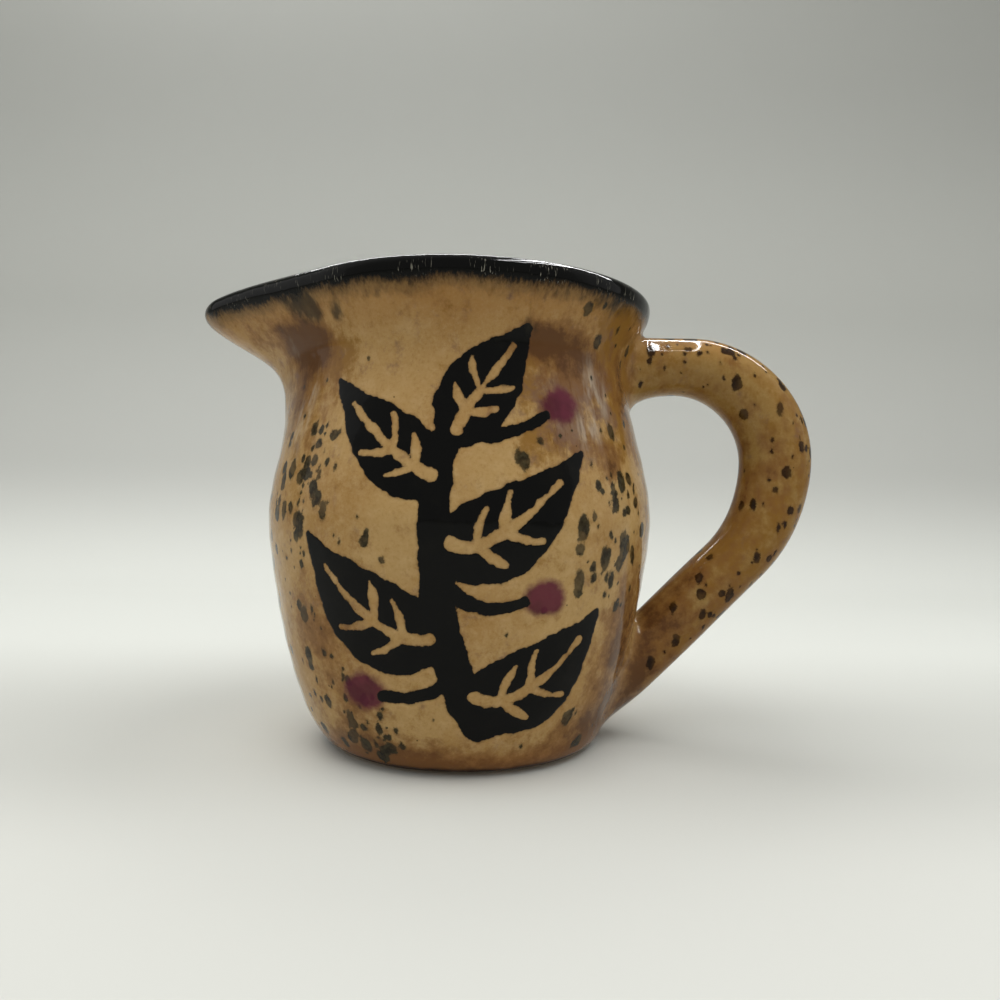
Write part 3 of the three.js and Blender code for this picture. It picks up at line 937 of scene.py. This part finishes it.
def glazed(name, painted, wave):
    """Clear gloss glaze over tan clay: washes, iron spots, the black rim with painted glints and, where
    painted, the sprig; also painted reflections, painted shade on the collar and by the handle's upper
    joint, and a painted contact shadow at the foot.
    """
    look = Look(name)
    shank = look.field("shank")
    ground = look.mix(shank, TAN, KHAKI)
    ground_warm = look.mix(shank, TAN_WARM, KHAKI_WARM)
    ground_pale = look.mix(shank, TAN_PALE, KHAKI_PALE)
    spot = look.mix(shank, OLIVE, RUST)
    spot_dark = look.mix(shank, OLIVE_DARK, RUST_DARK)
    level = look.level()
    cloudy = look.noise(19, 3, 0.55)
    fine = look.noise(2.4, 4, 0.6, shift=3.1)
    patches = look.noise(6.5, 3, 0.6, shift=5.3)
    streaks = look.noise(1.9, 3, 0.6, stretch=(1, 1, 6), shift=7.7)
    colour = look.mix(look.fade(cloudy, 0.36, 0.66), ground, ground_warm)
    colour = look.stain(colour, look.fade(fine, 0.45, 0.8), 0.5, ground_pale)
    # Warmer tan on the shoulder and, more strongly, on the collar under the rim: partly the glaze's own
    # tone, partly painted shade where the collar faces down.
    flare = look.math("MULTIPLY_ADD", look.math("SUBTRACT", patches, 0.5), 6.0, level)
    colour = look.stain(colour, look.fade(flare, 48.0, 72.0), 0.14, COLLAR_TONE_AND_SHADE)
    grit = look.noise(0.6, 3, 0.65, shift=4.7)
    colour = look.stain(colour, look.fade(grit, 0.5, 0.7), 0.22, AMBER)
    colour = look.stain(colour, look.fade(grit, 0.48, 0.32), 0.2, ground_pale)
    colour = look.stain(colour, look.fade(flare, 76.0, 84.5), 0.5, COLLAR_TONE_AND_SHADE)

    upright = look.math("MULTIPLY", look.math("SUBTRACT", streaks, 0.5), look.fade(level, 30.0, 56.0))
    upright = look.math("MULTIPLY_ADD", look.field("grain"), 0.3, upright)

    def wash(field, size, shift, torn):
        """A field broken up by patches and brush marks, upright on the neck and lengthwise on the handle."""
        blot = look.swing(size, 6, 0.7, shift=shift)
        broken = look.math("MULTIPLY_ADD", blot, torn * 3.6, look.field(field))
        return look.math("MULTIPLY_ADD", upright, torn * 0.9, broken)

    amber = wash("amber", 4.4, 9.7, 0.9)
    colour = look.stain(colour, look.fade(amber, 0.15, 0.95), 0.85, AMBER)
    blush = wash("mauve", 4.0, 11.0, 0.9)
    colour = look.stain(colour, look.fade(blush, 0.15, 1.0), 0.85, MAUVE)
    brown = wash("brown", 4.6, 8.3, 0.9)
    colour = look.stain(colour, look.fade(brown, 0.1, 0.95), 0.82, BROWN)
    colour = look.stain(colour, look.fade(brown, 0.75, 1.5), 0.85, BROWN_DEEP)
    # Pale patches of painted reflection, broken into upright streaks.
    veil = look.noise(2.6, 3, 0.6, stretch=(1, 1, 4), shift=13.3)
    painted_reflection_share = look.math("MULTIPLY", look.field("painted_reflection"), look.fade(veil, 0.32, 0.68))
    colour = look.stain(colour, look.fade(painted_reflection_share, 0.05, 0.95), 0.6, PAINTED_REFLECTION)
    dark_hair = look.noise(0.9, 3, 0.6, stretch=(1, 1, 9), shift=14.1)
    on_mauve = look.fade(look.field("mauve"), 0.2, 0.8)
    dark_hair = look.math("MULTIPLY", look.fade(dark_hair, 0.55, 0.68), on_mauve)
    colour = look.stain(colour, dark_hair, 0.4, BROWN_DEEP)

    colour = look.stain(colour, look.fade(level, 7.0, 2.5), 0.35, HEEL_WARM)
    ragged = look.swing(1.1, 4, 0.68, shift=15.0)
    inside = look.math("MULTIPLY_ADD", ragged, 1.3, look.math("MULTIPLY", look.field("spot"), -1.0))
    heart = look.mix(look.fade(ragged, -0.1, 0.12), spot_dark, spot)
    dense = look.math("MULTIPLY_ADD", look.fade(look.noise(3.1, 2, 0.5, shift=17.0), 0.35, 0.55), 0.22, 0.76)
    colour = look.stain(colour, look.fade(inside, -0.3, 0.1), 0.25, spot)
    colour = look.stain(colour, look.fade(inside, -0.08, 0.2), dense, heart)
    pins = look.spots(1.5, 0.05, 0.22, 0.07, 0.3, 4.0)
    colour = look.stain(colour, look.fade(pins, -0.03, 0.05), 0.7, spot_dark)
    relief = look.math("MULTIPLY", look.fade(inside, -0.1, 0.3), -0.05)

    if painted:
        wobble = look.swing(3.4, 2, 0.5, shift=21.0)
        frayed = look.swing(0.7, 3, 0.6, shift=23.0)
        edge = look.math("MULTIPLY_ADD", wobble, 1.7, look.field("ink"))
        edge = look.math("MULTIPLY_ADD", frayed, 0.45, edge)
        dab = look.math("MULTIPLY_ADD", wobble, 2.2, look.field("dab"))
        dab = look.math("MULTIPLY_ADD", frayed, 0.9, dab)
        berry = look.mix(look.fade(patches, 0.4, 0.65), PURPLE, PURPLE_DEEP)
        colour = look.stain(colour, look.fade(dab, 1.1, -0.9), 0.95, berry)
        colour = look.stain(colour, look.fade(edge, 0.45, 0.0), 0.35, BROWN_DEEP)
        paint = look.fade(edge, 0.1, -0.08)
        thin = look.fade(look.noise(5.2, 4, 0.65, shift=27.0), 0.5, 0.78)
        ink = look.mix(look.math("MULTIPLY", thin, 0.15), INK, INK_SOFT)
        colour = look.mix(paint, colour, ink)
        relief = look.math("ADD", relief, look.math("MULTIPLY", look.fade(edge, 0.25, -0.4), 0.8))

    hair = look.swing(0.5, 3, 0.6, stretch=(1, 1, 9), shift=31.0)
    sweep = look.swing(8, 2, 0.5, stretch=(1, 1, 3), shift=33.0)
    # The smudge field holds soft dark smudges of glaze on the wall and, on the handle by its upper joint,
    # painted shade.
    smudge_and_joint_shade = look.field("smudge_and_joint_shade")
    drip = look.math("MULTIPLY_ADD", hair, 2.2, level)
    drip = look.math("MULTIPLY_ADD", sweep, 3.2, drip)
    cloudy_rim = look.math("MULTIPLY_ADD", look.math("SUBTRACT", streaks, 0.5), 1.4, smudge_and_joint_shade)
    cloudy_rim = look.math("MULTIPLY", look.fade(cloudy_rim, 0.25, 0.95), 0.8)
    colour = look.mix(cloudy_rim, colour, INK_SOFT)
    haze = look.fade(drip, RIM_LINE - 2.9, RIM_LINE + 0.1)
    colour = look.stain(colour, haze, 0.55, INK_SOFT)
    band = look.fade(drip, RIM_LINE - 0.8, RIM_LINE + 0.9)
    # Pale ticks in groups on the outer lip: scratches in the black glaze, painted as glints of light.
    scratch = look.noise(0.3, 2, 0.5, stretch=(1, 1, 10), shift=37.0)
    in_groups = look.fade(look.noise(7, 2, 0.5, shift=39.0), 0.47, 0.6)
    on_edge_outside = look.math("MULTIPLY", look.fade(level, 85.6, 86.8), look.field("tick"))
    scratch_glints = look.math("MULTIPLY", look.fade(scratch, 0.6, 0.7), in_groups)
    scratch_glints = look.math("MULTIPLY", scratch_glints, on_edge_outside)
    rim = look.mix(look.math("MULTIPLY", scratch_glints, 0.45), INK, SCRATCH_GLINT)
    colour = look.mix(band, colour, rim)
    # A dark line along the bottom of the glaze: painted contact shadow where the jug meets the table.
    contact_shadow_line = look.math("MULTIPLY_ADD", look.math("SUBTRACT", patches, 0.5), 1.2, level)
    colour = look.stain(colour, look.fade(contact_shadow_line, 2.1, 1.2), 0.9, CONTACT_SHADOW)
    relief = look.math("ADD", relief, look.math("MULTIPLY", band, 0.8))

    shader = look.shader
    look.feed(shader.inputs["Base Color"], colour)
    gloss = look.math("MULTIPLY_ADD", look.noise(4.0, 3, 0.6, shift=41.0), 0.08, 0.035)
    look.feed(shader.inputs["Roughness"], gloss)
    shader.inputs["IOR"].default_value = 1.5
    shader.inputs["Specular IOR Level"].default_value = 0.12
    peel = look.math("MULTIPLY", look.noise(0.9, 2, 0.5, shift=45.0), 0.1)
    peel = look.math("ADD", look.noise(5.5, 2, 0.5, shift=43.0), peel)
    normal = look.bump(relief, 0.00005)
    normal = look.bump(peel, wave, below=normal)
    look.links.new(normal, shader.inputs["Normal"])
    return look.material


def bare_clay(name):
    """Fired clay without glaze: gritty, with finger and wire marks and a little iron."""
    look = Look(name)
    cloudy = look.noise(12, 3, 0.55)
    grit = look.noise(0.45, 4, 0.7, shift=2.0)
    colour = look.mix(look.fade(cloudy, 0.35, 0.7), tint(172, 132, 88), tint(146, 106, 66))
    colour = look.stain(colour, look.fade(grit, 0.5, 0.75), 0.4, tint(200, 168, 124))
    iron = look.spots(1.7, 0.06, 0.3, 0.3, 0.5, 3.0)
    colour = look.stain(colour, look.fade(iron, -0.05, 0.08), 0.75, tint(76, 48, 28))
    look.feed(look.shader.inputs["Base Color"], colour)
    look.feed(look.shader.inputs["Roughness"], look.math("MULTIPLY_ADD", grit, 0.2, 0.68))
    scrape = look.noise(0.6, 3, 0.6, stretch=(6, 1, 1), shift=6.0)
    normal = look.bump(look.math("ADD", grit, scrape), 0.0001)
    look.links.new(normal, look.shader.inputs["Normal"])
    return look.material


# Pieces
painted_glaze = glazed("painted_glaze", True, 0.00016)
plain_glaze = glazed("plain_glaze", False, 0.00012)
handle_glaze = glazed("handle_glaze", False, 0.00006)
clay = bare_clay("bare_clay")

points, ends = wall_grid()
normals = grid_normals(points)
cuts = {
    "wall": slice(0, ends["wall"]),
    "rim": slice(ends["wall"] - 1, ends["rim"]),
    "liner": slice(ends["rim"] - 1, ends["liner"]),
}
wall_paint, wall_spots = wall_fields(points)
coat = {}
for name, cut in cuts.items():
    coat[name] = grid_piece(name + "_coat", points[cut], normals[cut])
    for field, values in wall_paint.items():
        add_field(coat[name], field, values[cut])

foot_points = foot_grid()
foot = grid_piece("clay_foot", foot_points, grid_normals(foot_points))

grip_points, grip_normals, grip_angle, upper_end, lower_start = grip_grid()
grip_cuts = {
    "upper_joint": slice(0, upper_end + 1),
    "handle": slice(upper_end, lower_start + 1),
    "lower_joint": slice(lower_start, None),
}
grip_paint = handle_fields(grip_points, grip_angle, wall_spots)
grip = {}
for name, cut in grip_cuts.items():
    grip[name] = grid_piece("glazed_" + name, grip_points[cut], grip_normals[cut], flip=True)
    for field, values in grip_paint.items():
        add_field(grip[name], field, values[cut])

dressing = [
    (coat["wall"], painted_glaze, "tan_glaze", ["outer_glaze"]),
    (coat["rim"], plain_glaze, "black_glaze", ["rim_glaze"]),
    (coat["liner"], plain_glaze, "tan_glaze", ["liner_glaze"]),
    (foot, clay, "clay", ["body"]),
    (grip["handle"], handle_glaze, "tan_glaze", ["handle", "handle_glaze"]),
    (grip["upper_joint"], handle_glaze, "slip", ["upper_slip_joint"]),
    (grip["lower_joint"], handle_glaze, "slip", ["lower_slip_joint"]),
]
for piece, material, slot, nodes in dressing:
    piece.data.materials.append(material)
    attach(piece, "root")
    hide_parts(*nodes)


# Stage, in metres
TABLE_FRONT = -1.6
TABLE_HALF_WIDTH = 1.9
SWEEP_START = 0.24
SWEEP_RADIUS = 0.2
SWEEP_TOP = 1.2
CAMERA_PLACE = (0.00806, -0.1665, 0.0494)
CAMERA_ROLL = math.radians(0.91)
CAMERA_LENS = 28.26


def backdrop():
    """A pale table that sweeps up into a wall far behind, its paper coloured with painted light and shade.
    """
    bend = np.linspace(0, math.pi / 2, 24)
    profile = [(TABLE_FRONT, 0)]
    for a in bend:
        profile.append((SWEEP_START + SWEEP_RADIUS * math.sin(a), SWEEP_RADIUS - SWEEP_RADIUS * math.cos(a)))
    profile.append((SWEEP_START + SWEEP_RADIUS, SWEEP_TOP))
    vertices = [(side * TABLE_HALF_WIDTH, y, z) for y, z in profile for side in (-1, 1)]
    faces = [(2 * k, 2 * k + 1, 2 * k + 3, 2 * k + 2) for k in range(len(profile) - 1)]
    mesh = bpy.data.meshes.new("backdrop")
    mesh.from_pydata(vertices, [], faces)
    mesh.polygons.foreach_set("use_smooth", np.ones(len(faces), bool))
    sweep = bpy.data.objects.new("backdrop", mesh)
    bpy.context.scene.collection.objects.link(sweep)
    look = Look("backdrop")
    paper = look.noise(30, 3, 0.5)
    parts = look.nodes.new("ShaderNodeSeparateXYZ")
    look.feed(parts.inputs[0], look.place)
    x, y, z = parts.outputs
    # Painted shade on the table: darkest just beside the jug, lighter towards the back and towards the
    # front.
    far = look.fade(y, 0.0, 110.0)
    near = look.fade(y, -18.0, -64.0)
    high = look.fade(z, -25.0, 80.0)
    top = look.fade(z, 200.0, 400.0)
    colour = look.mix(far, tint(192, 193, 187), tint(214, 216, 210))
    colour = look.mix(near, colour, tint(206, 207, 201))
    # Painted light: a lighter ring round the jug's foot that thins its own shadow on the table.
    reach = look.math("SQRT", look.math("MULTIPLY_ADD", y, y, look.math("MULTIPLY", x, x)))
    colour = look.stain(colour, look.fade(reach, 72.0, 24.0), 0.8, tint(228, 229, 222))
    # Painted fall-off of the light: the wall greyer with height, and darker still towards its top.
    colour = look.mix(high, colour, tint(172, 173, 168))
    colour = look.mix(top, colour, tint(150, 151, 146))
    colour = look.stain(colour, paper, 0.03, tint(200, 200, 196))
    look.feed(look.shader.inputs["Base Color"], colour)
    look.shader.inputs["Roughness"].default_value = 0.7
    look.shader.inputs["Specular IOR Level"].default_value = 0.2
    mesh.materials.append(look.material)


def softbox(name, place, aim, size, power):
    data = bpy.data.lights.new(name, "AREA")
    data.shape = "RECTANGLE"
    data.size, data.size_y = size
    data.energy = power
    light = bpy.data.objects.new(name, data)
    light.location = place
    light.rotation_euler = (Vector(place) - Vector(aim)).to_track_quat("Z", "Y").to_euler()
    bpy.context.scene.collection.objects.link(light)
    return light


def glint(place, aim, size, radiance):
    """Thin lamp that only shows as a reflection in the gloss."""
    light = softbox("glint", place, aim, size, radiance * math.pi * size[0] * size[1])
    light.visible_diffuse = False


def ring_light(centre, size, strip, radiance):
    """Four thin lamps in a rectangle overhead, which show as an outline in the gloss."""
    x, y, z = centre
    wide, deep = size
    for side in (-1, 1):
        glint((x + side * wide / 2, y, z), (x + side * wide / 2, y, 0), (strip, deep), radiance)
        glint((x, y + side * deep / 2, z), (x, y + side * deep / 2, 0), (wide, strip), radiance)


def studio():
    top = softbox("top", (-0.012, -0.02, 0.66), (0, 0, 0.04), (1.15, 0.72), 6.3)
    top.visible_glossy = False
    ring_light((0.101, 0.0, 0.33), (0.044, 0.29), 0.0055, 118)
    glint((0.1, 0.33, 0.55), (0.03, 0, 0.09), (1.0, 0.024), 40)
    softbox("left", (-0.62, -0.05, 0.3), (0, 0, 0.05), (0.4, 0.5), 0.15)
    softbox("right", (0.62, -0.05, 0.3), (0, 0, 0.05), (0.4, 0.5), 0.12)
    world = bpy.data.worlds.new("tent")
    world.use_nodes = True
    bpy.context.scene.world = world
    nodes, links = world.node_tree.nodes, world.node_tree.links
    shade = nodes["Background"]
    place = nodes.new("ShaderNodeTexCoord")
    parts = nodes.new("ShaderNodeSeparateXYZ")
    links.new(place.outputs["Generated"], parts.inputs[0])
    ramp = nodes.new("ShaderNodeMapRange")
    ramp.interpolation_type = "SMOOTHSTEP"
    links.new(parts.outputs["Y"], ramp.inputs["Value"])
    ramp.inputs["From Min"].default_value = -0.8
    ramp.inputs["From Max"].default_value = 0.5
    ramp.inputs["To Min"].default_value = 0.52
    ramp.inputs["To Max"].default_value = 0.57
    shade.inputs["Color"].default_value = (1, 1, 0.98, 1)
    links.new(ramp.outputs[0], shade.inputs["Strength"])


def photographer():
    data = bpy.data.cameras.new("camera")
    data.sensor_width = 36
    data.lens = CAMERA_LENS
    data.clip_start = 0.005
    camera = bpy.data.objects.new("camera", data)
    level = Matrix.Rotation(math.pi / 2, 4, "X")
    roll = Matrix.Rotation(CAMERA_ROLL, 4, "Z")
    camera.matrix_world = Matrix.Translation(CAMERA_PLACE) @ level @ roll
    bpy.context.scene.collection.objects.link(camera)
    bpy.context.scene.camera = camera


backdrop()
studio()
photographer()
bpy.context.scene.view_settings.view_transform = "Standard"
